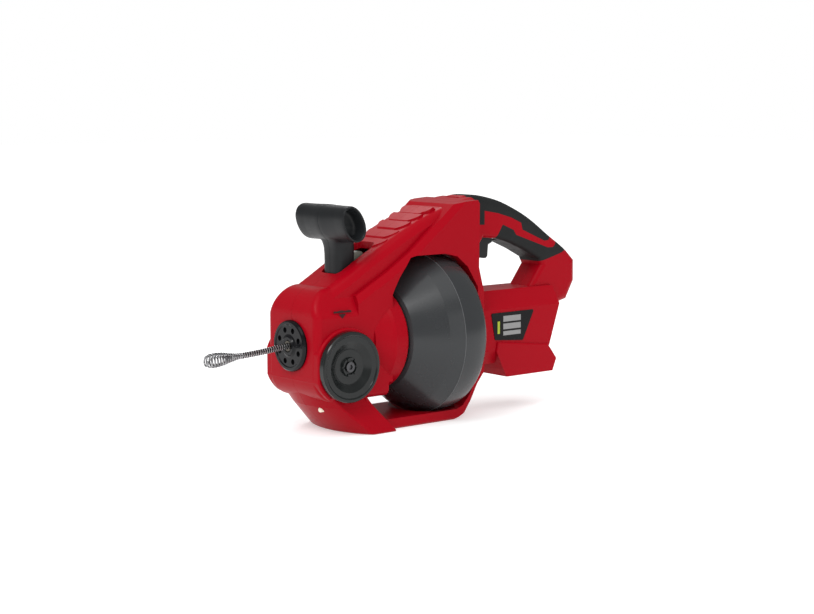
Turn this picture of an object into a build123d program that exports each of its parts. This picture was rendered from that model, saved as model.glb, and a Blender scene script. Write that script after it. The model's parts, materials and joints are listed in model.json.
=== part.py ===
from build123d import *
import math
import os

os.makedirs("parts", exist_ok=True)

# ---------------------------------------------------------------------------
# Hand-held cordless drain snake. Millimetres, +Z up, nose towards -X, handle
# towards +X, left-hand side towards -Y. The drum turns about an axis parallel
# to X. Sketches use local coordinates measured from the point where the drum
# axis meets the front face of the feed housing, placed by the planes below.
# ---------------------------------------------------------------------------

XN = -183.3            # X of the feed housing's front face
ZA = 88.0              # height of the drum axis above the foot

CABLE_D = 6.0          # snake cable diameter
HALF_W = 40.0          # half width of the feed housing and the arch
SPINE_W = 32.0         # half width of the raised spine on the arch
MOTOR_W = 35.0         # half width of the motor housing
BASE_W = 37.0          # half width of the battery base
GRIP_W = 17.5          # half width of the rear handle
SEAM = 0.1             # half of the joint gap between the housing halves
RUN = 0.05             # running clearance on shafts

DRUM_R = 82.6          # drum radius at the joint line
COLLAR_R = 52.0        # bearing collar radius
NECK_R = 16.0          # drum neck journal radius

KNOB_X, KNOB_Z, KNOB_R = 34.0, -19.0, 34.6   # side knob
LEVER_X, LEVER_Z = 58.0, 32.0                # feed lever pivot
ROLL_X, ROLL_R, ROLL_SKEW = 58.0, 6.5, 20.0  # feed rollers
POSTS = [(45.5, 15), (45.5, -15), (70.5, 15), (70.5, -15)]   # guide posts of the roller carriage
ROLL_LIFT = 2.0                              # travel of the upper roller

MODULE = 0.9
Z_SUN, Z_PLANET, Z_RING = 12, 18, 48
PLANET_R = MODULE * (Z_SUN + Z_PLANET) / 2
TOOTH = math.pi * MODULE / 2 - 0.34


def side(y=0.0):
    """Side-view plane: local x runs back along the axis, local y is up; extrudes towards -Y."""
    return Plane(origin=(XN, y, ZA), x_dir=(1, 0, 0), z_dir=(0, -1, 0))


def cross(x=0.0):
    """Plane across the axis: local x is +Y, local y is up; extrudes towards +X."""
    return Plane(origin=(XN + x, 0, ZA), x_dir=(0, 1, 0), z_dir=(1, 0, 0))


def level(z=0.0):
    """Horizontal plane at height z above the drum axis; extrudes upwards."""
    return Plane(origin=(XN, 0, ZA + z), x_dir=(1, 0, 0), z_dir=(0, 0, 1))


DRUM_AXIS = Axis((XN, 0, ZA), (1, 0, 0))


def inv(a):
    return math.tan(a) - a


def gear_points(z, thick, add, ded, tooth_at=0.0, n=5):
    """Outline of an involute spur gear of z teeth with the pitch thickness given."""
    rp = MODULE * z / 2
    rb = rp * math.cos(math.radians(20))
    ra, rr = rp + add, rp - ded
    lo = max(rb, rr)
    pts = []
    for k in range(z):
        c = math.radians(tooth_at) + 2 * math.pi * k / z
        half = []
        if rr < rb:
            half.append((rr, thick / (2 * rp) + inv(math.radians(20))))
        for i in range(n):
            r = lo + (ra - lo) * i / (n - 1)
            al = math.acos(min(1.0, rb / r))
            half.append((r, thick / (2 * rp) + inv(math.radians(20)) - inv(al)))
        for r, h in half:
            pts.append((r * math.cos(c - h), r * math.sin(c - h)))
        for r, h in reversed(half):
            pts.append((r * math.cos(c + h), r * math.sin(c + h)))
    return pts


def save(part, name):
    part.label = name
    export_step(part, f"parts/{name}.step")
    bb = part.bounding_box()
    print(f"{name:24s} solids {len(part.solids()):2d} vol {part.volume:9.0f} "
          f"x {bb.min.X - XN:6.1f}..{bb.max.X - XN:6.1f} y {bb.min.Y:6.1f}..{bb.max.Y:6.1f} "
          f"z {bb.min.Z - ZA:6.1f}..{bb.max.Z - ZA:6.1f}", flush=True)


def soften(pick, radii):
    """Fillets the picked edges of the open builder with the first radius that the shape takes."""
    for r in radii:
        try:
            fillet(pick(), r)
            return
        except Exception:
            continue
    print("left sharp", radii)


# ---------------------------------------------------------------------------
# Housing, outer form
# ---------------------------------------------------------------------------

SPINE_TOP = [(22, 55.0), (40, 65.0), (60, 76.5), (78, 86.5), (97, 96.5), (113, 105.0),
             (130, 113.0), (145, 119.4), (160, 124.6), (180, 130.6), (196, 134.4), (212, 136.6)]
BAND2 = [(50, 47.8), (64.5, 55.7), (90.6, 69.4), (117.4, 86.2), (138.9, 102.8), (158.7, 117.4), (176.0, 131.6)]

with BuildPart() as front_box:
    with BuildSketch(side()) as box_side:
        with BuildLine():
            Polyline((-1, 56.5), (-1, -54), (88, -54), (88, 56.5), close=True)
        make_face()
        fillet(vertices().sort_by(Axis.X)[:2], 26)
    extrude(amount=HALF_W + 5, both=True)
    with BuildSketch(cross(-5)):
        with BuildLine():
            Polyline((-HALF_W, -54), (-HALF_W, 30), (-27, 57), (27, 57), (HALF_W, 30), (HALF_W, -54), close=True)
        make_face()
        fillet(vertices(), 8)
    extrude(amount=100, mode=Mode.INTERSECT)
    soften(lambda: edges().filter_by(lambda e: e.center().X < XN + 12 and abs(e.center().Y) > 24), (11, 9, 7, 5, 3))

with BuildPart() as boss_form:
    with BuildSketch(side(0)):
        with Locations((KNOB_X, KNOB_Z)):
            Circle(37.4)
    extrude(amount=42.6, both=True)
    with BuildSketch(side(0)):
        with BuildLine():
            Polyline((-0.8, KNOB_Z - 31), (-0.8, 90), (KNOB_X + 60, 90), (KNOB_X + 60, KNOB_Z - 31), close=True)
        make_face()
    extrude(amount=60, both=True, mode=Mode.INTERSECT)
    soften(lambda: edges().filter_by(lambda e: abs(e.center().Y) > 42), (2.2, 1.5))

with BuildPart() as collar:
    with BuildSketch(side()):
        with BuildLine():
            Polyline((70, 0), (70, 42), (86, 50), (89, COLLAR_R), (102.5, COLLAR_R), (105, 50), (105, 0), close=True)
        make_face()
    revolve(axis=DRUM_AXIS)

# clearance around the drum, and the openings through the frame beside it
with BuildPart() as drum_room:
    with BuildSketch(side()):
        with BuildLine():
            Polyline((105, 0), (105, 58), (137, 80.3), (152, 85.6), (181, 83.6), (206.5, 60), (206.5, 0), close=True)
        make_face()
    revolve(axis=DRUM_AXIS)

with BuildPart() as window:
    with BuildSketch(side()):
        with BuildLine():
            Polyline((93, 46), (96, 52), (102.4, 62.6), (111, 73.5), (117.4, 81), (124, 82.7), (162, 82.7), (178, 79),
                     (192, 68), (206.5, 46), (206.5, -45), (195, -65), (186, -74.5), (178, -77.4), (82, -77.4),
                     (67.5, -61), (58, -49), (62, -40), (93, -40), close=True)
        make_face()
    extrude(amount=70, both=True)

with BuildPart() as arch:
    with BuildSketch(side()):
        with BuildLine():
            Polyline(*BAND2, (190, 133.8), (206, 134.8), (208.5, 131), (208, 66), (215, 40), (216, -42),
                     (206, -54), (197, -70), (188, -82.5), (176, -88), (84, -88), (60, -56), (50, -40), close=True)
        make_face()
    extrude(amount=HALF_W, both=True)
    try:
        chamfer(faces().filter_by(Axis.Y).edges().filter_by(
            lambda e: e.center().Z > ZA + 46 and XN + 48 < e.center().X < XN + 176 and e.length > 12), 7, 3.6)
    except Exception:
        print("arch band left square")
    try:
        chamfer(faces().filter_by(Axis.Y).edges().filter_by(lambda e: e.center().Z < ZA - 87.9), 2.0)
    except Exception:
        print("rail left square")
    add(window.part, mode=Mode.SUBTRACT)

with BuildPart() as spine:
    with BuildSketch(side()):
        with BuildLine():
            Spline(*SPINE_TOP)
            Polyline((212, 136.6), (212, 66), (120, 66), (60, 40), (22, 20), (22, 55.0))
        make_face()
    extrude(amount=SPINE_W, both=True)
    try:
        chamfer(faces().filter_by(Axis.Y).edges().filter_by(lambda e: e.center().Z > ZA + 90 and e.length > 150), 9, 4.6)
    except Exception:
        print("spine left square")
    soften(lambda: edges().filter_by(lambda e: e.length > 150 and abs(e.center().Y) < SPINE_W - 2 and e.center().Z > ZA + 80), (10, 7, 5))
    add(window.part, mode=Mode.SUBTRACT)

# stepped grip ribs over the top of the arch
ribs = []
for x0, z0 in ((84, 89.8), (99, 97.6), (114, 105.6), (129, 112.6), (144, 119.0)):
    with BuildPart() as rib:
        with BuildSketch(side()):
            with BuildLine():
                Polyline((x0, z0 - 2), (x0 + 4, z0 + 3.6), (x0 + 17, z0 + 9.6), (x0 + 22, z0 + 6), close=True)
            make_face()
        extrude(amount=22, both=True)
        with BuildSketch(level(60)):
            with BuildLine():
                l1 = ThreePointArc((x0 + 13, -22), (x0 - 1, 0), (x0 + 13, 22))
                l2 = Line(l1 @ 1, (x0 + 28, 22))
                l3 = Line(l2 @ 1, (x0 + 28, -22))
                Line(l3 @ 1, l1 @ 0)
            make_face()
        extrude(amount=90, mode=Mode.INTERSECT)
    ribs.append(rib.part)

with BuildPart() as foot:
    for z, xf, xc, xb, hw in ((-47, 7.3, 16, 57.3, 37.6), (-60, 15.2, 29, 66, 40.7), (-88, 43, 60, 90, 51)):
        with BuildSketch(level(z)):
            with BuildLine():
                l1 = ThreePointArc((xc, -hw), (xf, 0), (xc, hw))
                l2 = Line(l1 @ 1, (xb, hw))
                l3 = Line(l2 @ 1, (xb, -hw))
                Line(l3 @ 1, l1 @ 0)
            make_face()
            fillet(vertices().sort_by(Axis.X)[:2], 4)
    loft(ruled=True)
    try:
        chamfer(faces().sort_by(Axis.Z)[0].edges(), 1.5)
    except Exception:
        print("foot left square")

with BuildPart() as motor_form:
    with BuildSketch(cross(203)):
        with BuildLine():
            Polyline((-MOTOR_W, -24), (-MOTOR_W, 19.5), (-21, 38), (21, 38), (MOTOR_W, 19.5), (MOTOR_W, -24), (26, -38), (-26, -38), close=True)
        make_face()
        fillet(vertices().filter_by(lambda v: v.Z > ZA + 30), 9)
    extrude(amount=140)
    with BuildSketch(side()):
        with BuildLine():
            Polyline((203, 45), (203, -45), (232, -40), (252, -38), (310, -38), (330, 21), (332, 45), close=True)
        make_face()
        fillet(vertices().filter_by(lambda v: abs(v.X - XN - 330) < 1), 6)
    extrude(amount=60, both=True, mode=Mode.INTERSECT)

with BuildPart() as base_form:
    with BuildSketch(side()):
        with BuildLine():
            Polyline((238, -14), (303, -21.5), (311, -22), (317, -29), (324, -38), (318, -52), (251, -52), (246, -44), (236, -24), close=True)
        make_face()
        fillet(vertices().filter_by(lambda v: v.X > XN + 312 and v.Z > ZA - 45), 3)
    extrude(amount=BASE_W, both=True)
    soften(lambda: faces().filter_by(Axis.Y).edges().filter_by(lambda e: e.center().Z > ZA - 30), (2, 1.2))

GRIP_OUT = [(206, 136.6), (224, 138.4), (243, 135.6), (261, 131), (279, 124), (297, 115.4), (315.6, 104.2), (335.7, 90.5),
            (349.5, 81.8), (361, 73.6)]
GRIP_END = [(361, 73.6), (372.5, 63), (372.8, 39.5), (361, 19.5), (340, 15)]
with BuildPart() as grip_form:
    with BuildSketch(side()) as grip_sk:
        with BuildLine():
            Spline(*GRIP_OUT)
            Polyline(*GRIP_END, (300, 10), (206, 10), (206, 136.6))
        make_face()
        with BuildLine():
            Polyline((226, 38), (303, 38), (320, 60), (316, 67), (296, 77), (274, 86), (255, 91.5), (236, 93.5), (229, 84), (225, 62), close=True)
        make_face(mode=Mode.SUBTRACT)
        fillet(vertices().filter_by(lambda v: XN + 224 < v.X < XN + 321 and ZA + 37 < v.Z < ZA + 94), 5)
    extrude(amount=GRIP_W, both=True)
    soften(lambda: ShapeList([e for f in faces().filter_by(Axis.Y) for e in f.outer_wire().edges()]), (9, 8, 6.5, 5, 3))
    soften(lambda: faces().filter_by(Axis.Y).edges().filter_by(lambda e: e.length < 90 and XN + 224 < e.center().X < XN + 321 and ZA + 37 < e.center().Z < ZA + 94), (5, 4, 3))

# core of the grip, under the rubber
with BuildPart() as grip_core:
    with BuildSketch(side()):
        with BuildLine():
            Spline(*[(x - 1.0, z - 2.2) for x, z in GRIP_OUT])
            Polyline((360, 71.4), (370.3, 61.8), (370.6, 40), (359.4, 21), (339, 16.8), (300, 12), (205, 12), (205, 134.4))
        make_face()
        with BuildLine():
            Polyline((223, 36), (305, 36), (323, 60), (318, 69), (297, 79.2), (275, 88.2), (255, 93.7), (235, 95.7), (226.8, 85), (222.8, 62), close=True)
        make_face(mode=Mode.SUBTRACT)
        fillet(vertices().filter_by(lambda v: XN + 221 < v.X < XN + 324 and ZA + 35 < v.Z < ZA + 96), 5)
    extrude(amount=GRIP_W - 2, both=True)
    soften(lambda: ShapeList([e for f in faces().filter_by(Axis.Y) for e in f.outer_wire().edges()]), (7, 6, 5, 3))

with BuildPart() as rubber_zone:
    with BuildSketch(side()):
        with BuildLine():
            Polyline((213.5, 150), (213.5, 120), (221.5, 107.4), (236, 107), (236, 121.5), (255, 118.2), (274, 112.8),
                     (288.6, 106.6), (290.5, 99.2), (323.3, 85.7), (329.5, 86.2), (338, 93), (352, 112), (300, 150), close=True)
        make_face()
        with BuildLine():
            Polyline((243, 80), (252.7, 92), (262, 106), (277.8, 99.6), (281.5, 94.2), (316, 82.6), (328.4, 78.3), (336, 78.2),
                     (344, 84.5), (352, 90), (372, 84), (362, 76), (346.6, 70.8), (326.5, 65.7), (312, 62.6), (300, 58), (243, 60), close=True)
        make_face()
    extrude(amount=30, both=True)

with BuildPart() as skin:
    add(grip_form.part)
    add(rubber_zone.part, mode=Mode.INTERSECT)
    add(grip_core.part, mode=Mode.SUBTRACT)

TRIGGER_WAY = [(224.5, 102), (226, 84), (236, 78), (266, 80), (266, 104), (240, 106)]
with BuildPart() as grip_skin:
    add(skin.part)
    with BuildSketch(side()):
        with BuildLine():
            Polyline(*TRIGGER_WAY, close=True)
        make_face()
    extrude(amount=8.6, both=True, mode=Mode.SUBTRACT)

# ---------------------------------------------------------------------------
# Housing, one body before it is split
# ---------------------------------------------------------------------------

SCREWS = [(12, 42, 30), (10.5, -41.5, 36), (80.6, -45.8, 36), (101, 80, 30), (168, 106, 28), (198, 112, 28),
          (216, 74, 14), (340, 46, 14), (62, -76, 40), (258, -44, 34)]

with BuildPart() as shell:
    add(arch.part)
    add(spine.part)
    for r in ribs:
        add(r)
    add(drum_room.part, mode=Mode.SUBTRACT)
    add(motor_form.part)
    add(grip_form.part)
    add(base_form.part)
    add(foot.part)
    add(front_box.part)
    add(boss_form.part)
    add(collar.part)
print("outer form", len(shell.part.solids()), shell.part.volume, flush=True)

with BuildPart() as rooms_motor:
    # motor housing
    with BuildSketch(cross(217)):
        with BuildLine():
            Polyline((-32, -22), (-32, 18), (-19.5, 35), (19.5, 35), (32, 18), (32, -22), (24, -35), (-24, -35), close=True)
        make_face()
    extrude(amount=105)
    with BuildSketch(side()):
        with BuildLine():
            Polyline((200, 60), (200, -60), (220, -36), (252, -34.5), (306, -34.5), (324, 22), (326, 60), close=True)
        make_face()
    extrude(amount=60, both=True, mode=Mode.INTERSECT)

with BuildPart() as rooms_front:
    with BuildSketch(side()):
        with BuildLine():
            Polyline((4, 50), (4, -49.5), (84, -49.5), (84, 50), close=True)
        make_face()
        fillet(vertices().sort_by(Axis.X)[:2], 20)
    extrude(amount=36.5, both=True)
    with BuildSketch(cross(0)):
        with BuildLine():
            Polyline((-36.5, -49.5), (-36.5, 26), (-25, 51), (25, 51), (36.5, 26), (36.5, -49.5), close=True)
        make_face()
    extrude(amount=86, mode=Mode.INTERSECT)

with BuildPart() as rooms_arch:
    with BuildSketch(side()):
        with BuildLine():
            Polyline((26, 46), (40, 59), (60, 70.5), (80, 82), (100, 92.5), (130, 108), (160, 119.5), (185, 126), (204, 129),
                     (204, 96), (188, 88.5), (172, 89.5), (128, 89.5), (112, 84), (98, 70), (84, 46), close=True)
        make_face()
    extrude(amount=27, both=True)

with BuildPart() as rooms_grip:
    with BuildSketch(side()):
        with BuildLine():
            Polyline((213, 130.5), (242, 127.5), (276, 116.5), (312, 98), (344, 76), (361, 58), (362, 46), (352, 32), (330, 24), (308, 27),
                     (310, 33), (328, 60), (322, 73.5), (299, 84), (276, 93), (255, 99), (231, 101), (221.5, 90), (219, 60), (220, 34),
                     (213, 34), close=True)
        make_face()
    extrude(amount=12.5, both=True)

with BuildPart() as bosses:
    for x, z, y in SCREWS:
        with BuildSketch(side()):
            with Locations((x, z)):
                Circle(5)
        extrude(amount=min(y + 1, 38), both=True)
    # posts that carry the feed lever's pivot
    with BuildSketch(side()):
        with Locations((LEVER_X, LEVER_Z)):
            Circle(6.5)
    extrude(amount=37, both=True)
    with BuildSketch(side()):
        with Locations((LEVER_X, LEVER_Z)):
            Circle(12)
    extrude(amount=11.5, both=True, mode=Mode.SUBTRACT)
    with BuildSketch(side()):
        with Locations((LEVER_X, LEVER_Z)):
            Circle(3.0)
    extrude(amount=36, both=True, mode=Mode.SUBTRACT)
    # seat of the side knob's spindle in the right wall
    with BuildSketch(side(37)):
        with Locations((KNOB_X, KNOB_Z)):
            Circle(7)
            Circle(4.0 + RUN, mode=Mode.SUBTRACT)
    extrude(amount=15)

with BuildPart() as cuts:
    # bore for the nose plate's spigot, bearing seats on the drum axis, shaft way
    with BuildSketch(side()):
        with BuildLine():
            Polyline((-2, 0), (-2, 14), (10, 14), (10, 0), close=True)
        make_face()
    revolve(axis=DRUM_AXIS)
    with BuildSketch(side()):
        with BuildLine():
            Polyline((80, 0), (80, 12), (86, 12), (86, 20), (106, 20), (106, 0), close=True)
        make_face()
    revolve(axis=DRUM_AXIS)
    with BuildSketch(side()):
        with BuildLine():
            Polyline((203, 0), (203, 13), (207, 13), (207, 16), (216, 16), (216, 12), (219, 12), (219, 0), close=True)
        make_face()
    revolve(axis=DRUM_AXIS)
    # way of the side knob's spindle, through the left wall only
    with BuildSketch(side(30)):
        with Locations((KNOB_X, KNOB_Z)):
            Circle(6.0 + RUN)
    extrude(amount=80)
    # slot of the feed lever
    with BuildSketch(level(40)):
        with BuildLine():
            Polyline((44.5, -14.2), (44.5, 14.2), (93.5, 14.2), (93.5, -14.2), close=True)
        make_face()
        fillet(vertices(), 6)
    extrude(amount=60)
    # way of the trigger
    with BuildSketch(side()):
        with BuildLine():
            Polyline(*TRIGGER_WAY, close=True)
        make_face()
    extrude(amount=8.6, both=True)
    # battery slide, open at the back and below
    with BuildSketch(cross(258)):
        with BuildLine():
            Polyline((-31, -40), (31, -40), (31, -47.5), (26, -47.5), (26, -53), (-26, -53), (-26, -47.5), (-31, -47.5), close=True)
        make_face()
    extrude(amount=80)
    # wire way from the battery slide to the motor room
    with BuildSketch(level(-42)):
        with Locations((272, 0)):
            Rectangle(10, 24)
    extrude(amount=12)
    # lamp seat in the foot
    with BuildSketch(cross(8)):
        with Locations((-18, -63)):
            Circle(2.6)
    extrude(amount=30)

with BuildPart() as screw_ways:
    for x, z, y in SCREWS:
        with BuildSketch(side(60)):
            with Locations((x, z)):
                Circle(4.2)
        extrude(amount=60 - y)
        with BuildSketch(side(y + 1)):
            with Locations((x, z)):
                Circle(2.0)
        extrude(amount=y + 13)

with BuildPart() as body:
    add(shell.part)
    add(skin.part, mode=Mode.SUBTRACT)
    add(rooms_front.part, mode=Mode.SUBTRACT)
    add(rooms_arch.part, mode=Mode.SUBTRACT)
    add(rooms_motor.part, mode=Mode.SUBTRACT)
    add(rooms_grip.part, mode=Mode.SUBTRACT)
    add(bosses.part)
    add(cuts.part, mode=Mode.SUBTRACT)
    add(screw_ways.part, mode=Mode.SUBTRACT)
for so in body.part.solids():
    print("  piece", round(so.volume), [round(v, 1) for v in (so.center() - Vector(XN, 0, ZA))])
print("body", len(body.part.solids()), [round(s.volume) for s in body.part.solids()], flush=True)

for name, sign in (("left_housing", -1), ("right_housing", 1)):
    with BuildPart() as half:
        add(body.part)
        with BuildSketch(side(sign * SEAM)):
            with Locations((180, 20)):
                Rectangle(700, 400)
        extrude(amount=-sign * 80, mode=Mode.INTERSECT)
    solids = half.part.solids().sort_by(SortBy.VOLUME)
    print(name, [round(s.volume) for s in solids])
    with BuildPart() as keep:
        add(solids[-1])
    save(keep.part, name)

for name, sign in (("left_grip_overmold", -1), ("right_grip_overmold", 1)):
    with BuildPart() as half:
        add(grip_skin.part)
        with BuildSketch(side(sign * SEAM)):
            with Locations((280, 100)):
                Rectangle(300, 200)
        extrude(amount=-sign * 40, mode=Mode.INTERSECT)
    save(half.part, name)

# ---------------------------------------------------------------------------
# Fasteners of the housing, nose, bearings
# ---------------------------------------------------------------------------

with BuildPart() as housing_screws:
    for x, z, y in SCREWS:
        with BuildSketch(side(y + 3)):
            with Locations((x, z)):
                Circle(3.9)
        extrude(amount=3)
        with BuildSketch(side(y)):
            with Locations((x, z)):
                Circle(1.95)
        extrude(amount=y + 11)
        with BuildSketch(side(y + 3)):
            with Locations((x, z)):
                RegularPolygon(1.9, 6)
        extrude(amount=1.6, mode=Mode.SUBTRACT)
save(housing_screws.part, "housing_screws")

with BuildPart() as nose_plate:
    with BuildSketch(side()):
        with BuildLine():
            Polyline((-5.2, 5.0), (-6.4, 6.2), (-6.4, 8.6), (-5.0, 9.6), (-4.4, 11.5), (-4.4, 20.2), (-5.4, 21.2), (-5.4, 23.2),
                     (-4.6, 24.4), (-2.6, 25.2), (-1.0, 25.2), (-1.0, 13.95), (8.0, 13.95), (8.0, 5.0), close=True)
        make_face()
    revolve(axis=DRUM_AXIS)
    with BuildSketch(cross(-5.5)):
        with PolarLocations(16.2, 8, start_angle=22.5):
            Circle(2.7)
    extrude(amount=3.6, mode=Mode.SUBTRACT)
save(nose_plate.part, "nose_plate")

with BuildPart() as nose_nut:
    with BuildSketch(cross(4.0)):
        RegularPolygon(19, 8)
        Circle(13.95, mode=Mode.SUBTRACT)
    extrude(amount=4)
save(nose_nut.part, "nose_nut")

with BuildPart() as nose_bush:
    with BuildSketch(cross(-6.0)):
        Circle(5.0)
        Circle(3.35, mode=Mode.SUBTRACT)
    extrude(amount=14)
    with BuildSketch(cross(8.0)):
        Circle(7.5)
        Circle(3.35, mode=Mode.SUBTRACT)
    extrude(amount=2.5)
save(nose_bush.part, "nose_bush")

with BuildPart() as drum_front_bush:
    with BuildSketch(cross(86.0)):
        Circle(20)
        Circle(NECK_R + RUN, mode=Mode.SUBTRACT)
    extrude(amount=17)
save(drum_front_bush.part, "drum_front_bush")

with BuildPart() as rear_bearing:
    with BuildSketch(cross(207.0)):
        Circle(16)
        Circle(8 + RUN, mode=Mode.SUBTRACT)
    extrude(amount=9)
    with BuildSketch(cross(207.0)):
        Circle(13)
        Circle(10.6, mode=Mode.SUBTRACT)
    extrude(amount=0.8, mode=Mode.SUBTRACT)
save(rear_bearing.part, "rear_bearing")

# ---------------------------------------------------------------------------
# Planetary reduction and motor, on the drum axis
# ---------------------------------------------------------------------------

with BuildPart() as gearbox_case:
    with BuildSketch(cross(218)):
        Circle(31)
        Circle(10, mode=Mode.SUBTRACT)
    extrude(amount=2.5)
    with BuildSketch(cross(220.5)):
        Circle(31)
        Circle(26.95, mode=Mode.SUBTRACT)
    extrude(amount=22.5)
    with BuildSketch(cross(232)):
        with PolarLocations(29, 3, start_angle=90):
            Circle(1.2)
    extrude(amount=12, mode=Mode.SUBTRACT)
save(gearbox_case.part, "gearbox_case")

with BuildPart() as gearbox_cover:
    with BuildSketch(cross(243)):
        Circle(31)
        Circle(7.6, mode=Mode.SUBTRACT)
        with PolarLocations(29, 3, start_angle=90):
            Circle(1.2, mode=Mode.SUBTRACT)
    extrude(amount=3)
save(gearbox_cover.part, "gearbox_cover")

with BuildPart() as gearbox_screws:
    with BuildSketch(cross(234)):
        with PolarLocations(29, 3, start_angle=90):
            Circle(1.2)
    extrude(amount=12)
    with BuildSketch(cross(246)):
        with PolarLocations(29, 3, start_angle=90):
            Circle(1.9)
    extrude(amount=1.6)
save(gearbox_screws.part, "gearbox_screws")

with BuildPart() as ring_gear:
    with BuildSketch(cross(228)):
        Circle(26.95)
        with BuildLine():
            rp = MODULE * Z_RING / 2
            pts = []
            for k in range(Z_RING):
                c = 2 * math.pi * k / Z_RING
                pitch = 2 * math.pi / Z_RING
                for r, frac in ((rp - 0.75, 0.13), (rp, 0.19), (rp + 1.15, 0.27)):
                    pts.append((r, c - frac * pitch, k))
                for r, frac in ((rp + 1.15, 0.27), (rp, 0.19), (rp - 0.75, 0.13)):
                    pts.append((r, c + frac * pitch, k))
            ordered = []
            for k in range(Z_RING):
                c = 2 * math.pi * k / Z_RING
                pitch = 2 * math.pi / Z_RING
                ordered += [((rp + 1.15), c - 0.27 * pitch), (rp, c - 0.19 * pitch), (rp - 0.75, c - 0.13 * pitch),
                            (rp - 0.75, c + 0.13 * pitch), (rp, c + 0.19 * pitch), (rp + 1.15, c + 0.27 * pitch)]
            Polyline(*[(r * math.cos(a), r * math.sin(a)) for r, a in ordered], close=True)
        make_face(mode=Mode.SUBTRACT)
    extrude(amount=12)
save(ring_gear.part, "ring_gear")

for i, name in enumerate(("planet_gear_a", "planet_gear_b", "planet_gear_c")):
    ang = 120.0 * i
    cy, cz = PLANET_R * math.cos(math.radians(ang)), PLANET_R * math.sin(math.radians(ang))
    # a gap faces the sun's tooth and, 180 degrees on, the ring's tooth
    with BuildPart() as planet:
        with BuildSketch(cross(228)):
            with Locations((cy, cz)):
                with BuildLine():
                    Polyline(*[(cy + x, cz + y) for x, y in gear_points(Z_PLANET, TOOTH, 0.75, 1.15, ang + 180.0 / Z_PLANET)], close=True)
                make_face()
                Circle(2.0 + RUN, mode=Mode.SUBTRACT)
        extrude(amount=11)
    save(planet.part, name)

with BuildPart() as sun_pinion:
    with BuildSketch(cross(227.5)):
        with BuildLine():
            Polyline(*gear_points(Z_SUN, TOOTH, 0.75, 1.15, 0.0), close=True)
        make_face()
        Circle(2.5, mode=Mode.SUBTRACT)
    extrude(amount=13)
save(sun_pinion.part, "sun_pinion")

with BuildPart() as motor_shaft:
    with BuildSketch(cross(227.5)):
        Circle(2.5)
    extrude(amount=80)
save(motor_shaft.part, "motor_shaft")

with BuildPart() as motor_can:
    with BuildSketch(cross(246)):
        Circle(20)
        Circle(4.0, mode=Mode.SUBTRACT)
    extrude(amount=2.5)
    with BuildSketch(cross(248.5)):
        Circle(20)
        Circle(18.3, mode=Mode.SUBTRACT)
    extrude(amount=51.5)
save(motor_can.part, "motor_can")

with BuildPart() as motor_magnets:
    with BuildSketch(cross(256)):
        Circle(18.3)
        Circle(16.3, mode=Mode.SUBTRACT)
        with Locations((0, 0)):
            Rectangle(12, 60, mode=Mode.SUBTRACT)
    extrude(amount=34)
save(motor_magnets.part, "motor_magnets")

with BuildPart() as motor_armature:
    with BuildSketch(cross(257)):
        Circle(15.6)
        with PolarLocations(13.5, 5):
            Rectangle(5, 2.4, mode=Mode.SUBTRACT)
        Circle(2.5, mode=Mode.SUBTRACT)
    extrude(amount=32)
    with BuildSketch(cross(291)):
        Circle(6)
        Circle(2.5, mode=Mode.SUBTRACT)
    extrude(amount=7)
    with BuildSketch(cross(289)):
        Circle(9)
        Circle(2.5, mode=Mode.SUBTRACT)
    extrude(amount=2)
save(motor_armature.part, "motor_armature")

with BuildPart() as motor_fan:
    with BuildSketch(cross(249.6)):
        Circle(15)
        Circle(2.5, mode=Mode.SUBTRACT)
    extrude(amount=1.2)
    with BuildSketch(cross(250.8)):
        with PolarLocations(10.5, 9):
            Rectangle(8, 1.2)
    extrude(amount=4)
save(motor_fan.part, "motor_fan")

with BuildPart() as motor_end_cap:
    with BuildSketch(cross(300)):
        Circle(20)
        Circle(2.5 + RUN, mode=Mode.SUBTRACT)
    extrude(amount=4)
    with BuildSketch(cross(304)):
        Circle(7)
        Circle(2.5 + RUN, mode=Mode.SUBTRACT)
    extrude(amount=2.5)
save(motor_end_cap.part, "motor_end_cap")

# ---------------------------------------------------------------------------
# Drum, with the cable wound inside it
# ---------------------------------------------------------------------------

with BuildPart() as drum_front_half:
    with BuildSketch(side()):
        with BuildLine():
            Polyline((87, NECK_R), (107, NECK_R), (107, 50), (108.5, 53.6), (137.6, 75.6), (151.9, DRUM_R), (151.9, DRUM_R - 3),
                     (138.4, 72.4), (111.4, 51.6), (110, 48), (110, 20), (112, 16), (112, 7), (87, 7), close=True)
        make_face()
        fillet(vertices().filter_by(lambda v: abs(v.X - XN - 137.6) < 0.2 or abs(v.X - XN - 108.5) < 0.2), 3)
    revolve(axis=DRUM_AXIS)
    with BuildSketch(side()):
        with BuildLine():
            Polyline((145.4, 79.0), (145.4, 75.4), (158, 77.2), (158, 79.1), (152, 79.2), (151.9, 80.2), (148, 79.6), close=True)
        make_face()
    revolve(axis=DRUM_AXIS)
save(drum_front_half.part, "drum_front_half")

with BuildPart() as drum_rear_half:
    with BuildSketch(side()):
        with BuildLine():
            Spline((152.15, DRUM_R), (162, 82.9), (172, 82.2), (180, 80.4))
            Polyline((180, 80.4), (183, 78.4), (203, 52), (203, 8.0), (200, 8.0), (200, 50.4), (180.6, 75.6), (178.6, 77.2))
            Spline((178.6, 77.2), (172, 79.0), (162, 79.7), (152.15, 79.4))
            Line((152.15, 79.4), (152.15, DRUM_R))
        make_face()
    revolve(axis=DRUM_AXIS)
    with BuildSketch(cross(199)):
        with PolarLocations(20, 4, start_angle=45):
            Circle(2.0)
    extrude(amount=6, mode=Mode.SUBTRACT)
save(drum_rear_half.part, "drum_rear_half")

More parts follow.
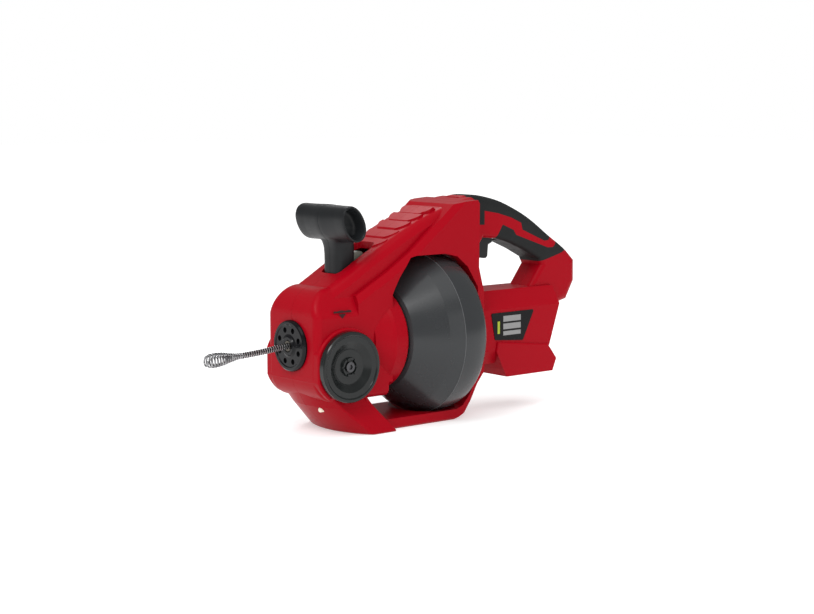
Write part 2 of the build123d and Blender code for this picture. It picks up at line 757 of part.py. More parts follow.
with BuildPart() as drum_shaft:
    with BuildSketch(cross(196.5)):
        Circle(26)
        with PolarLocations(20, 4, start_angle=45):
            Circle(2.0, mode=Mode.SUBTRACT)
    extrude(amount=3.5)
    with BuildSketch(cross(200)):
        Circle(8)
    extrude(amount=23)
    with BuildSketch(cross(223)):
        Circle(19)
    extrude(amount=3.5)
    with BuildSketch(cross(222)):
        with PolarLocations(PLANET_R, 3):
            Circle(2.0)
    extrude(amount=6, mode=Mode.SUBTRACT)
save(drum_shaft.part, "drum_shaft")

with BuildPart() as planet_pins:
    with BuildSketch(cross(223)):
        with PolarLocations(PLANET_R, 3):
            Circle(2.0)
    extrude(amount=17)
save(planet_pins.part, "planet_pins")

with BuildPart() as drum_screws:
    with BuildSketch(cross(196.5)):
        with PolarLocations(20, 4, start_angle=45):
            Circle(1.95)
    extrude(amount=6.5)
    with BuildSketch(cross(194)):
        with PolarLocations(20, 4, start_angle=45):
            Circle(3.6)
    extrude(amount=2.5)
save(drum_screws.part, "drum_screws")

with BuildPart() as cable_coil:
    with BuildSketch(side()):
        with BuildLine():
            Polyline((132, 54), (178, 54), (178, 72), (132, 66), close=True)
        make_face()
        fillet(vertices(), 3)
    revolve(axis=DRUM_AXIS)
save(cable_coil.part, "cable_coil")

# the lead inside the drum: inwards from the coil and into the neck
with BuildPart() as cable_lead:
    with BuildLine() as lead_line:
        FilletPolyline((XN + 136, 0, ZA + 53.6), (XN + 136, 0, ZA + 34), (XN + 127, 0, ZA + 14), (XN + 113, 0, ZA), (XN + 95.0, 0, ZA), radius=20)
    with BuildSketch(Plane(origin=(XN + 136, 0, ZA + 53.6), x_dir=(0, 1, 0), z_dir=(0, 0, -1))):
        Circle(CABLE_D / 2)
    sweep(path=lead_line.wire())
save(cable_lead.part, "cable_lead")

# the straight run from the neck through the rollers to the nose
with BuildPart() as cable_run:
    with BuildSketch(cross(-5.0)):
        Circle(CABLE_D / 2)
    extrude(amount=99.7)
save(cable_run.part, "cable_run")

CABLE_ROUTE = [(-5.3, 0, 0), (-17.0, 0, -0.7), (-36.0, 0, -3.0), (-60.0, 0, -4.4)]


def arc_radii(points):
    """Radius at each corner: 0.45 of the shorter run over the tangent of half the turn."""
    out = []
    for a, b, c in zip(points, points[1:], points[2:]):
        u, v = Vector(*b) - Vector(*a), Vector(*c) - Vector(*b)
        turn = math.radians(u.get_angle(v))
        out.append(0.45 * min(u.length, v.length) / math.tan(turn / 2))
    return out


radii = arc_radii(CABLE_ROUTE)
with BuildPart() as snake_cable:
    with BuildLine() as route:
        FilletPolyline(*[(XN + x, y, ZA + z) for x, y, z in CABLE_ROUTE], radius=radii)
    with BuildSketch(Plane(origin=(XN - 5.3, 0, ZA), x_dir=(0, 1, 0), z_dir=Vector(-11.7, 0, -0.7))):
        Circle(CABLE_D / 2)
    sweep(path=route.wire())
print("free cable radii", [round(r, 1) for r in radii], "length", round(route.wire().length, 2), "section x length",
      round(route.wire().length * math.pi * (CABLE_D / 2) ** 2, 1), "volume", round(snake_cable.part.volume, 1))
save(snake_cable.part, "snake_cable")

# bulb head, turned about the cable's own direction at its end
TIP_DIR = Vector(-41.2, 0, -1.9).normalized()
TIP_PLANE = Plane(origin=(XN - 60.0, 0, ZA - 4.4), x_dir=TIP_DIR, z_dir=(0, -1, 0))
with BuildPart() as auger_tip:
    with BuildSketch(TIP_PLANE):
        with BuildLine():
            l1 = Line((0, 0), (0, 3.0))
            l2 = Spline(l1 @ 1, (8, 3.8), (18, 5.6), (27, 7.0), (34, 7.2), (39, 6.2), (42, 3.6))
            l3 = Line(l2 @ 1, (42, 0))
            Line(l3 @ 1, (0, 0))
        make_face()
    revolve(axis=Axis(TIP_PLANE.origin, TIP_DIR))
save(auger_tip.part, "auger_tip")

# ---------------------------------------------------------------------------
# Feed mechanism: chassis, three skewed rollers, carriage, lever
# ---------------------------------------------------------------------------

with BuildPart() as chassis:
    with BuildSketch(level(-31)):
        with Locations((48.5, 0)):
            Rectangle(49, 37)
    extrude(amount=3)
    for x0, x1 in ((43, 48), (68, 73)):
        with BuildSketch(cross(x0)):
            with BuildLine():
                Polyline((-18.5, -28), (18.5, -28), (18.5, -0.2), (-18.5, -0.2), close=True)
            make_face()
        extrude(amount=x1 - x0)
    with BuildSketch(level(-28)):
        with Locations((33.5, 10.2), (33.5, -10.2)):
            Rectangle(19, 3)
    extrude(amount=23.5)
    with BuildSketch(level(-49.5)):
        with Locations((29, 0), (70, 0)):
            Rectangle(5, 26)
    extrude(amount=18.5)
    # cable way, spindle way, axle ways, post ways
    with BuildSketch(cross(20)):
        Circle(4.4)
    extrude(amount=60, mode=Mode.SUBTRACT)
    with BuildSketch(side(13)):
        with Locations((KNOB_X, KNOB_Z)):
            Circle(4.0 + RUN)
    extrude(amount=10, mode=Mode.SUBTRACT)
    with BuildSketch(side(-5)):
        with Locations((KNOB_X, KNOB_Z)):
            Circle(6.0 + RUN)
    extrude(amount=10, mode=Mode.SUBTRACT)
    with BuildSketch(level(-20)):
        with Locations(*POSTS):
            Circle(2.0)
    extrude(amount=30, mode=Mode.SUBTRACT)


def roller_plane(phi, lift=0.0):
    """Plane through a feed roller's centre, its normal along the roller's skewed axis."""
    p = math.radians(phi)
    s = math.radians(ROLL_SKEW)
    d = CABLE_D / 2 + ROLL_R + 0.3
    return Plane(origin=(XN + ROLL_X, d * math.cos(p), ZA + d * math.sin(p) + lift),
                 z_dir=(math.cos(s), -math.sin(p) * math.sin(s), math.cos(p) * math.sin(s)))


for name, phi, lift in (("lower_roller_right", 320, 0), ("lower_roller_left", 220, 0), ("upper_roller", 90, ROLL_LIFT)):
    with BuildPart() as roller:
        with BuildSketch(roller_plane(phi, lift)):
            Circle(ROLL_R)
            Circle(1.9 + RUN, mode=Mode.SUBTRACT)
        extrude(amount=7.5, both=True)
        try:
            chamfer(edges().filter_by(GeomType.CIRCLE).sort_by(SortBy.RADIUS)[-2:], 0.6)
        except Exception:
            print("roller left square")
    pl = roller_plane(phi, lift)
    print(name, "centre", [round(v, 2) for v in pl.origin], "axis", [round(v, 5) for v in pl.z_dir])
    save(roller.part, name)

with BuildPart() as lower_axles:
    for phi in (220, 320):
        with BuildSketch(roller_plane(phi)):
            Circle(1.9)
        extrude(amount=15.2, both=True)
with BuildPart() as upper_axle:
    with BuildSketch(roller_plane(90, ROLL_LIFT)):
        Circle(1.9)
    extrude(amount=15.2, both=True)

with BuildPart() as feed_chassis:
    add(chassis.part)
    add(lower_axles.part, mode=Mode.SUBTRACT)
save(feed_chassis.part, "feed_chassis")
save(lower_axles.part, "lower_roller_axles")

with BuildPart() as roller_carriage:
    with BuildSketch(level(19.6)):
        with Locations((ROLL_X, 0)):
            RectangleRounded(30, 37.4, 2)
            with Locations((-12.5, 15), (-12.5, -15), (12.5, 15), (12.5, -15)):
                Circle(2.0 + RUN, mode=Mode.SUBTRACT)
    extrude(amount=3)
    for x0 in (43, 68):
        with BuildSketch(cross(x0)):
            with BuildLine():
                Polyline((-8.4, 6.8), (8.4, 6.8), (8.4, 19.6), (-8.4, 19.6), close=True)
            make_face()
        extrude(amount=5)
    add(upper_axle.part, mode=Mode.SUBTRACT)
save(roller_carriage.part, "roller_carriage")
save(upper_axle.part, "upper_roller_axle")

with BuildPart() as guide_posts:
    with BuildSketch(level(-20)):
        with Locations(*POSTS):
            Circle(2.0)
    extrude(amount=47)
save(guide_posts.part, "guide_posts")

with BuildPart() as carriage_springs:
    for x, y in POSTS:
        with BuildLine() as coil:
            Helix(pitch=3.0, height=18.3, radius=2.95, center=(XN + x, y, ZA + 0.4))
        with BuildSketch(Plane(origin=coil.line @ 0, z_dir=coil.line % 0)):
            Circle(0.4)
        sweep(path=coil.line, is_frenet=True)
save(carriage_springs.part, "carriage_springs")

with BuildPart() as feed_lever_arm:
    with BuildSketch(side()):
        with BuildLine():
            Polyline((52.5, 34), (51.6, 29.6), (54.5, 26.6), (62, 25.6), (68.5, 23.6), (71, 23.4), (72.8, 25.2), (72.6, 27.6),
                     (66, 36), (66, 50), (66, 66), (48, 66), (48, 56), close=True)
        make_face()
        fillet(vertices().filter_by(lambda v: v.Y < 30), 1.2)
        with Locations((LEVER_X, LEVER_Z)):
            Circle(3.0 + RUN, mode=Mode.SUBTRACT)
    extrude(amount=7, both=True)
save(feed_lever_arm.part, "feed_lever_arm")

with BuildPart() as lever_pivot_pin:
    with BuildSketch(side()):
        with Locations((LEVER_X, LEVER_Z)):
            Circle(3.0)
    extrude(amount=32.0, both=True)
save(lever_pivot_pin.part, "lever_pivot_pin")

BAR = (46.5, 118.5)     # centre of the handle's crossbar
with BuildPart() as front_handle:
    for z, xc, lx, wy in ((57, 56.5, 21, 25), (86, 56.5, 21, 26), (102, 53.5, 22, 30), (114, 49, 20, 34)):
        with BuildSketch(level(z)):
            with Locations((xc, 0)):
                RectangleRounded(lx, wy, 6)
    loft()
    for sy in (-1, 1):
        for y, rx, rz in ((0, 15.0, 19.0), (24, 14.0, 17.6), (40.5, 13.6, 17.0)):
            with BuildSketch(side(sy * y)):
                with Locations(BAR):
                    Ellipse(rx, rz, rotation=22)
        loft()
    soften(lambda: faces().filter_by(Axis.Y).edges(), (3.0, 2.0, 1.0))
    # sockets in the ends, and the slot that takes the lever arm
    for sy in (-1, 1):
        with BuildSketch(side(sy * 41.5)):
            with Locations(BAR):
                Ellipse(9.6, 13.0, rotation=22)
        extrude(amount=sy * 12, mode=Mode.SUBTRACT)
    add(feed_lever_arm.part, mode=Mode.SUBTRACT)
save(front_handle.part, "front_handle")

with BuildPart() as slot_cover:
    with BuildSketch(side()):
        with BuildLine():
            Polyline((64, 58), (64, 82), (68, 86.6), (74, 88.4), (79, 87.6), (82.5, 84.5), (84.4, 79), (84.4, 58), close=True)
        make_face()
        fillet(vertices().filter_by(lambda v: v.Y > 78 and v.X > 65), 1.6)
    extrude(amount=9.5, both=True)
    with BuildSketch(level(55)):
        with Locations((66, 0)):
            RectangleRounded(36.8, 19, 8)
    extrude(amount=40, mode=Mode.INTERSECT)
    add(front_handle.part, mode=Mode.SUBTRACT)
    add(feed_lever_arm.part, mode=Mode.SUBTRACT)
save(slot_cover.part, "slot_cover")

# ---------------------------------------------------------------------------
# Side knob, its spindle with the cam, and the clamp shoe
# ---------------------------------------------------------------------------

KNOB_PLANE = Plane(origin=(XN + KNOB_X, 0, ZA + KNOB_Z), x_dir=(1, 0, 0), z_dir=(0, 0, 1))
KNOB_AXIS = Axis((XN + KNOB_X, 0, ZA + KNOB_Z), (0, 1, 0))

with BuildPart() as clamp_knob:
    with BuildSketch(KNOB_PLANE):
        with BuildLine():
            Polyline((3.0, -43.0), (33.4, -43.0), (KNOB_R, -44.0), (KNOB_R, -49.2), (33.8, -50.3), (31.6, -50.5), (30.6, -49.8),
                     (30.2, -49.3), (25.0, -49.1), (24.2, -48.6), (18.2, -44.7), (17.5, -44.6), (17.1, -45.1), (9.6, -45.1),
                     (9.0, -47.8), (7.2, -47.8), (6.8, -45.4), (3.0, -45.4), close=True)
        make_face()
    revolve(axis=KNOB_AXIS)
    with BuildSketch(side(-50)):
        with Locations((KNOB_X, KNOB_Z)):
            with PolarLocations(8.2, 6):
                Rectangle(4, 1.8)
    extrude(amount=-3.6, mode=Mode.SUBTRACT)
save(clamp_knob.part, "clamp_knob")

with BuildPart() as knob_screw:
    with BuildSketch(side(-45.4)):
        with Locations((KNOB_X, KNOB_Z)):
            Circle(5.0)
    extrude(amount=2.4)
    with BuildSketch(side(-33)):
        with Locations((KNOB_X, KNOB_Z)):
            Circle(2.95)
    extrude(amount=12.4)
    with BuildSketch(side(-46.4)):
        with Locations((KNOB_X, KNOB_Z)):
            RegularPolygon(2.6, 6)
    extrude(amount=2, mode=Mode.SUBTRACT)
save(knob_screw.part, "knob_screw")

CAM_R, CAM_LIFT = 5.0, 2.5     # the cam's radius grows by the lift over half a turn
with BuildPart() as knob_spindle:
    with BuildSketch(side(-9)):
        with Locations((KNOB_X, KNOB_Z)):
            Circle(6.0)
    extrude(amount=34)
    with BuildSketch(side(32)):
        with Locations((KNOB_X, KNOB_Z)):
            Circle(4.0)
    extrude(amount=41)
    with BuildSketch(side(7.5)):
        with BuildLine():
            cam = []
            for i in range(61):
                a = math.pi * i / 60
                r = CAM_R + CAM_LIFT * i / 60
                cam.append((KNOB_X - r * math.sin(a), KNOB_Z + r * math.cos(a)))
            for i in range(1, 40):
                a = math.pi + math.pi * i / 40
                r = CAM_R + CAM_LIFT * max(0.0, 1 - i / 20)
                cam.append((KNOB_X - r * math.sin(a), KNOB_Z + r * math.cos(a)))
            Polyline(*cam, close=True)
        make_face()
    extrude(amount=15)
    with BuildSketch(side(-33)):
        with Locations((KNOB_X, KNOB_Z)):
            Circle(3.0)
    extrude(amount=11, mode=Mode.SUBTRACT)
save(knob_spindle.part, "knob_spindle")

with BuildPart() as clamp_shoe:
    with BuildSketch(side()):
        with BuildLine():
            Polyline((KNOB_X - 2.5, -13.6), (KNOB_X + 2.5, -13.6), (KNOB_X + 2.5, -11.0), (KNOB_X + 7, -9.6), (KNOB_X + 7, -5.8),
                     (KNOB_X - 7, -5.8), (KNOB_X - 7, -9.6), (KNOB_X - 2.5, -11.0), close=True)
        make_face()
    extrude(amount=8.3, both=True)
    with BuildSketch(cross(20)):
        with Locations((0, -2.8)):
            Circle(3.4)
    extrude(amount=30, mode=Mode.SUBTRACT)
save(clamp_shoe.part, "clamp_shoe")

# ---------------------------------------------------------------------------
# Trigger, switch, battery contacts, labels, lamp
# ---------------------------------------------------------------------------

with BuildPart() as trigger:
    with BuildSketch(side()):
        with BuildLine():
            Polyline((229.6, 99), (231, 101.2), (256, 101.2), (256, 87), (250.6, 85), (249.6, 73), (247.6, 70.9), (244, 70.8),
                     (234, 73.6), (229.8, 78.8), (228.6, 88), close=True)
        make_face()
        fillet(vertices().filter_by(lambda v: v.Z < ZA + 80), 1.2)
    extrude(amount=8, both=True)
    soften(lambda: faces().filter_by(Axis.Y).edges(), (1.2, 0.8))
    with BuildSketch(cross(256)):
        with Locations((0, 92.5)):
            Circle(3.2)
    extrude(amount=-8, mode=Mode.SUBTRACT)
save(trigger.part, "trigger")

with BuildPart() as trigger_spring:
    with BuildLine() as tcoil:
        Helix(pitch=2.6, height=16.6, radius=2.3, center=(XN + 248.7, 0, ZA + 92.5), direction=(1, 0, 0))
    with BuildSketch(Plane(origin=tcoil.line @ 0, z_dir=tcoil.line % 0)):
        Circle(0.35)
    sweep(path=tcoil.line, is_frenet=True)
save(trigger_spring.part, "trigger_spring")

with BuildPart() as switch_module:
    with BuildSketch(side()):
        with BuildLine():
            Polyline((269, 96.6), (294, 90.5), (294, 103), (282, 108.6), (269, 108.6), close=True)
        make_face()
    extrude(amount=8, both=True)
    with BuildSketch(cross(264)):
        with Locations((0, 100)):
            Circle(2.2)
    extrude(amount=6)
save(switch_module.part, "switch_module")

with BuildPart() as terminal_block:
    with BuildSketch(level(-46.6)):
        with Locations((272, 0)):
            RectangleRounded(22, 34, 2)
    extrude(amount=6.6)
    with BuildSketch(cross(276)):
        with Locations((-12, -43.4), (-4, -43.4), (4, -43.4), (12, -43.4)):
            Rectangle(0.9, 4.2)
    extrude(amount=10, mode=Mode.SUBTRACT)
save(terminal_block.part, "terminal_block")

with BuildPart() as terminal_blades:
    with BuildSketch(cross(276)):
        with Locations((-12, -43.4), (-4, -43.4), (4, -43.4), (12, -43.4)):
            Rectangle(0.9, 4.2)
    extrude(amount=22)
save(terminal_blades.part, "terminal_blades")

for name, y in (("label_left", -MOTOR_W), ("label_right", MOTOR_W + 0.6)):
    with BuildPart() as label:
        with BuildSketch(side(y)):
            with BuildLine():
                Polyline((229.5, 16), (291, 16), (275, -15.4), (235, -12.2), close=True)
            make_face()
            fillet(vertices(), 1.5)
        extrude(amount=0.6)
    save(label.part, name)

with BuildPart() as lamp_lens:
    with BuildSketch(cross(18.4)):
        with Locations((-18, -63)):
            Circle(2.55)
    extrude(amount=12)
    soften(lambda: edges().sort_by(Axis.X)[:1], (1.4, 1.0))
save(lamp_lens.part, "lamp_lens")
print("written", len(os.listdir("parts")))
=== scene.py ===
import bpy
import bmesh
import json
import math
from mathutils import Vector, Matrix


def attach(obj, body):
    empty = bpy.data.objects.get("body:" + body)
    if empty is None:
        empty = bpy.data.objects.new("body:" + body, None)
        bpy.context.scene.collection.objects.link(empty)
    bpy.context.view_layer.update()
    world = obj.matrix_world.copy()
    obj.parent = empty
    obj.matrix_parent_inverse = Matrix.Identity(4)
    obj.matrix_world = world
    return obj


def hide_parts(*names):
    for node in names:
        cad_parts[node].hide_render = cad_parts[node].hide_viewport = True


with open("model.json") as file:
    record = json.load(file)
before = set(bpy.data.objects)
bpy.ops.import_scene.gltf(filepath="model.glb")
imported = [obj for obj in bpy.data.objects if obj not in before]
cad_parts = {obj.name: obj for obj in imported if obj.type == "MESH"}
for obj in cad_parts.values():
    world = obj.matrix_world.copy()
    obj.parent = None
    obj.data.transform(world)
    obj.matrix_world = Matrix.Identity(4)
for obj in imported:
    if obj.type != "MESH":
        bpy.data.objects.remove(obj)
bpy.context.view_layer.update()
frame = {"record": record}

XN, ZA = -0.1833, 0.088          # nose face and drum axis height, in metres


def P(x, y, z):
    """Millimetres from the nose face on the drum axis, to metres in the frame."""
    return Vector((XN + x / 1000, y / 1000, ZA + z / 1000))


# ------------------------------------------------------------------ camera
az, el = math.radians(-40.2), math.radians(6.87)
cam_data = bpy.data.cameras.new("camera")
cam = bpy.data.objects.new("camera", cam_data)
bpy.context.scene.collection.objects.link(cam)
cam.location = P(-1008.6, -1365.3, 241.7)
cam.rotation_euler = (math.pi / 2 - el, 0, az)
cam_data.sensor_width = 36
cam_data.lens = 78.12
cam_data.clip_start, cam_data.clip_end = 0.05, 20
bpy.context.scene.camera = cam

# ------------------------------------------------------------------ nodes


def new_mat(name):
    m = bpy.data.materials.new(name)
    m.use_nodes = True
    nt = m.node_tree
    nt.nodes.clear()
    out = nt.nodes.new("ShaderNodeOutputMaterial")
    bsdf = nt.nodes.new("ShaderNodeBsdfPrincipled")
    nt.links.new(bsdf.outputs[0], out.inputs[0])
    return m, nt, bsdf


def noise(nt, scale, detail=3.0, rough=0.55, vec=None, dist=0.0):
    n = nt.nodes.new("ShaderNodeTexNoise")
    n.inputs["Scale"].default_value = scale
    n.inputs["Detail"].default_value = detail
    n.inputs["Roughness"].default_value = rough
    n.inputs["Distortion"].default_value = dist
    if vec is not None:
        nt.links.new(vec, n.inputs["Vector"])
    return n


def obj_coords(nt):
    return nt.nodes.new("ShaderNodeTexCoord").outputs["Object"]


def ramp(nt, fac, stops):
    r = nt.nodes.new("ShaderNodeValToRGB")
    el_ = r.color_ramp.elements
    el_[0].position, el_[0].color = stops[0][0], (*stops[0][1], 1)
    el_[1].position, el_[1].color = stops[-1][0], (*stops[-1][1], 1)
    for pos, col in stops[1:-1]:
        e = el_.new(pos)
        e.color = (*col, 1)
    nt.links.new(fac, r.inputs[0])
    return r


def grey(v):
    return (v, v, v)


def plastic(name, base, spread, rough, rough_spread, grain, bump, coat=0.0, coat_rough=0.2, spec=0.5, mottling=14.0, wear=None):
    """Moulded plastic: slight colour drift, uneven gloss, spark-eroded grain, lighter rubbed edges."""
    m, nt, b = new_mat(name)
    co = obj_coords(nt)
    big = noise(nt, mottling, 4.0, 0.6, co)
    lo = tuple(max(0, c * (1 - spread)) for c in base)
    hi = tuple(min(1, c * (1 + spread)) for c in base)
    col = ramp(nt, big.outputs["Fac"], [(0.3, lo), (0.7, hi)])
    colour = col.outputs[0]
    if wear:
        geo = nt.nodes.new("ShaderNodeNewGeometry")
        edge = ramp(nt, geo.outputs["Pointiness"], [(0.515, grey(0)), (0.56, grey(1))])
        scr = noise(nt, 90.0, 5.0, 0.7, co)
        scr_r = ramp(nt, scr.outputs["Fac"], [(0.5, grey(0.0)), (0.68, grey(0.8))])
        mul = nt.nodes.new("ShaderNodeMath")
        mul.operation = "MULTIPLY"
        nt.links.new(edge.outputs[0], mul.inputs[0])
        nt.links.new(scr_r.outputs[0], mul.inputs[1])
        mix = nt.nodes.new("ShaderNodeMix")
        mix.data_type = "RGBA"
        nt.links.new(mul.outputs[0], mix.inputs["Factor"])
        nt.links.new(colour, mix.inputs[6])
        mix.inputs[7].default_value = (*wear, 1)
        colour = mix.outputs[2]
    nt.links.new(colour, b.inputs["Base Color"])
    mid = noise(nt, mottling * 3.3, 5.0, 0.6, co)
    rr = ramp(nt, mid.outputs["Fac"], [(0.3, grey(max(0.02, rough - rough_spread))), (0.7, grey(rough + rough_spread))])
    nt.links.new(rr.outputs[0], b.inputs["Roughness"])
    fine = noise(nt, grain, 2.0, 0.5, co)
    bp = nt.nodes.new("ShaderNodeBump")
    bp.inputs["Strength"].default_value = bump
    bp.inputs["Distance"].default_value = 0.0002
    nt.links.new(fine.outputs["Fac"], bp.inputs["Height"])
    nt.links.new(bp.outputs[0], b.inputs["Normal"])
    b.inputs["Specular IOR Level"].default_value = spec
    if coat:
        b.inputs["Coat Weight"].default_value = coat
        b.inputs["Coat Roughness"].default_value = coat_rough
    return m


def metal(name, base, rough, rough_spread, scale=60.0, bump=0.15, stretch=(1, 1, 1), dark=None):
    """Metal with fine machining or wire marks along one direction."""
    m, nt, b = new_mat(name)
    co = obj_coords(nt)
    mp = nt.nodes.new("ShaderNodeMapping")
    mp.inputs["Scale"].default_value = stretch
    nt.links.new(co, mp.inputs["Vector"])
    n1 = noise(nt, scale, 5.0, 0.65, mp.outputs[0])
    lo = dark if dark else tuple(c * 0.72 for c in base)
    col = ramp(nt, n1.outputs["Fac"], [(0.3, lo), (0.65, base)])
    nt.links.new(col.outputs[0], b.inputs["Base Color"])
    b.inputs["Metallic"].default_value = 1.0
    n2 = noise(nt, scale * 4, 4.0, 0.6, mp.outputs[0])
    rr = ramp(nt, n2.outputs["Fac"], [(0.3, grey(max(0.05, rough - rough_spread))), (0.7, grey(rough + rough_spread))])
    nt.links.new(rr.outputs[0], b.inputs["Roughness"])
    bp = nt.nodes.new("ShaderNodeBump")
    bp.inputs["Strength"].default_value = bump
    bp.inputs["Distance"].default_value = 0.0001
    nt.links.new(n2.outputs["Fac"], bp.inputs["Height"])
    nt.links.new(bp.outputs[0], b.inputs["Normal"])
    return m


RED = plastic("red_plastic", (0.30, 0.0008, 0.0070), 0.03, 0.32, 0.04, 2600, 0.05, spec=0.065, mottling=7)
RUBBER = plastic("grip_rubber", (0.016, 0.017, 0.0172), 0.10, 0.55, 0.05, 3200, 0.22, spec=0.09, mottling=20)
NOSE = plastic("nose_black", (0.004, 0.004, 0.005), 0.2, 0.16, 0.04, 1500, 0.03, spec=0.22, mottling=30)
DRUM = plastic("drum_plastic", (0.029, 0.031, 0.033), 0.06, 0.25, 0.04, 2400, 0.06, spec=0.32, mottling=9)
HANDLE = plastic("handle_plastic", (0.011, 0.012, 0.0132), 0.08, 0.40, 0.05, 2800, 0.16, spec=0.20, mottling=16)
COVER = plastic("cover_plastic", (0.15, 0.155, 0.13), 0.06, 0.40, 0.05, 2000, 0.1, spec=0.4)
KNOB = plastic("knob_black", (0.010, 0.0115, 0.0115), 0.1, 0.22, 0.04, 2200, 0.04, spec=0.30, mottling=24)
BLACK = plastic("trigger_black", (0.012, 0.0125, 0.0135), 0.1, 0.34, 0.05, 2400, 0.08, spec=0.2)
SWITCH = plastic("switch_plastic", (0.02, 0.02, 0.022), 0.1, 0.5, 0.05, 2000, 0.15)
NYLON = plastic("gear_black", (0.03, 0.03, 0.035), 0.15, 0.48, 0.06, 1800, 0.2)
ACETAL = plastic("bush_plastic", (0.02, 0.02, 0.021), 0.1, 0.35, 0.05, 1500, 0.08)
FAN = plastic("fan_plastic", (0.05, 0.05, 0.06), 0.1, 0.45, 0.05, 1500, 0.1)
LENS = plastic("lamp_lens", (0.82, 0.76, 0.60), 0.03, 0.14, 0.03, 900, 0.03, coat=0.8, coat_rough=0.05, spec=0.6)
CABLE = metal("cable_steel", (0.62, 0.62, 0.63), 0.30, 0.06, 120, 0.1, dark=(0.44, 0.44, 0.45))
# near-black for the cable's grooves: painted shade in the recesses between the wire's turns
CABLE_GROOVE_SHADE = metal("cable_groove_painted_shade", (0.02, 0.02, 0.021), 0.6, 0.06, 120, 0.1)
AUGER = metal("auger_steel", (0.38, 0.38, 0.39), 0.20, 0.05, 120, 0.1, dark=(0.15, 0.15, 0.155))
STEEL = metal("gear_steel", (0.52, 0.52, 0.54), 0.3, 0.08, 80)
BEARING = metal("bearing_steel", (0.62, 0.62, 0.64), 0.22, 0.06, 80)
ROLLER = metal("roller_steel", (0.58, 0.58, 0.6), 0.24, 0.06, 80)
SPRING = metal("spring_steel", (0.5, 0.5, 0.52), 0.28, 0.06, 90)
MOTORCAN = metal("motor_steel", (0.56, 0.57, 0.6), 0.32, 0.08, 50)
SCREWS = metal("steel_screws", (0.10, 0.10, 0.105), 0.36, 0.08, 150)
DARKSTEEL = metal("steel_dark", (0.10, 0.10, 0.105), 0.4, 0.08, 70)
MAGNET = metal("magnet", (0.09, 0.09, 0.1), 0.5, 0.1, 90)
ARMATURE = metal("armature", (0.42, 0.24, 0.12), 0.4, 0.1, 220, stretch=(6, 1, 1))
BRASS = metal("brass", (0.10, 0.09, 0.075), 0.26, 0.07, 70)
COPPER = metal("copper", (0.8, 0.42, 0.26), 0.24, 0.07, 70)
# lighter grey for the raised bead on the drum's seam: a painted highlight along the seam
SEAM_HIGHLIGHT_GREY = plastic("seam_painted_highlight", (0.085, 0.088, 0.092), 0.08, 0.40, 0.04, 1800, 0.05, spec=0.35)
PRINT_DARK = plastic("print_dark", (0.030, 0.006, 0.007), 0.1, 0.5, 0.05, 1800, 0.05, spec=0.2)
PRINT_GREY = plastic("print_grey", (0.24, 0.24, 0.24), 0.06, 0.45, 0.05, 1500, 0.05, spec=0.25)
PRINT_LIME = plastic("print_lime", (0.33, 0.40, 0.03), 0.06, 0.45, 0.05, 1500, 0.05, spec=0.25)


def label_material():
    """Black film, plain, with no lettering."""
    m, nt, b = new_mat("label_film")
    co = obj_coords(nt)
    n1 = noise(nt, 40, 4, 0.6, co)
    col = ramp(nt, n1.outputs["Fac"], [(0.3, (0.0045, 0.0045, 0.005)), (0.7, (0.007, 0.007, 0.0075))])
    nt.links.new(col.outputs[0], b.inputs["Base Color"])
    rr = ramp(nt, n1.outputs["Fac"], [(0.3, grey(0.22)), (0.7, grey(0.32))])
    nt.links.new(rr.outputs[0], b.inputs["Roughness"])
    b.inputs["Specular IOR Level"].default_value = 0.12
    return m


LABEL = label_material()

SLOTS = {
    "red_plastic": RED, "grip_rubber": RUBBER, "steel_screws": SCREWS, "nose_black": NOSE, "steel_dark": DARKSTEEL, "brass": BRASS,
    "bush_plastic": ACETAL, "bearing_steel": BEARING, "gear_black": NYLON, "gear_steel": STEEL, "motor_steel": MOTORCAN,
    "magnet": MAGNET, "armature": ARMATURE, "fan_plastic": FAN, "drum_plastic": DRUM, "cable_steel": CABLE, "auger_steel": AUGER,
    "roller_steel": ROLLER, "spring_steel": SPRING, "handle_plastic": HANDLE, "cover_plastic": COVER, "knob_black": KNOB,
    "trigger_black": BLACK, "switch_plastic": SWITCH, "copper": COPPER, "label_film": LABEL, "lamp_lens": LENS,
}
slot_of = {s["node"]: s["material_slot"] for s in frame["record"]["subparts"]}
NODES = {}
for node, sl in slot_of.items():
    o = bpy.data.objects.get(node)
    if o is None:
        continue
    NODES[node] = o
    o.data.materials.clear()
    o.data.materials.append(SLOTS[sl])

# soft rounding of the moulded edges, shading only
BEVELS = {"left_grip_overmold": 0.0004, "right_grip_overmold": 0.0004,
          "nose_plate": 0.0005, "clamp_knob": 0.0004, "knob_screw": 0.0003, "trigger": 0.0006, "front_handle": 0.0006,
          "drum_front_half": 0.0005, "drum_rear_half": 0.0005, "slot_cover": 0.0005, "label_left": 0.0002, "label_right": 0.0002}
for node, w in BEVELS.items():
    o = NODES.get(node)
    if o is None:
        continue
    b = o.modifiers.new("bevel", "BEVEL")
    b.width = w
    b.segments = 2
    b.limit_method = "ANGLE"
    b.angle_limit = math.radians(32)
    b.harden_normals = False
    b.use_clamp_overlap = True


# ------------------------------------------------------------------ mesh helpers


def link(obj):
    bpy.context.scene.collection.objects.link(obj)
    return obj


def mesh_object(name, verts, faces, material, smooth=True):
    me = bpy.data.meshes.new(name)
    me.from_pydata([tuple(v) for v in verts], [], faces)
    me.update()
    if smooth:
        for p in me.polygons:
            p.use_smooth = True
    me.materials.append(material)
    return link(bpy.data.objects.new(name, me))


def frames_along(pts):
    """Tangent and two normals at each point, carried along without twist."""
    out = []
    t0 = (pts[1] - pts[0]).normalized()
    up = Vector((0, 1, 0)) if abs(t0.y) < 0.8 else Vector((0, 0, 1))
    n = t0.cross(up).normalized()
    for i, p in enumerate(pts):
        t = (pts[min(i + 1, len(pts) - 1)] - pts[max(i - 1, 0)]).normalized()
        n = (n - t * n.dot(t)).normalized()
        out.append((p, t, n, t.cross(n)))
    return out


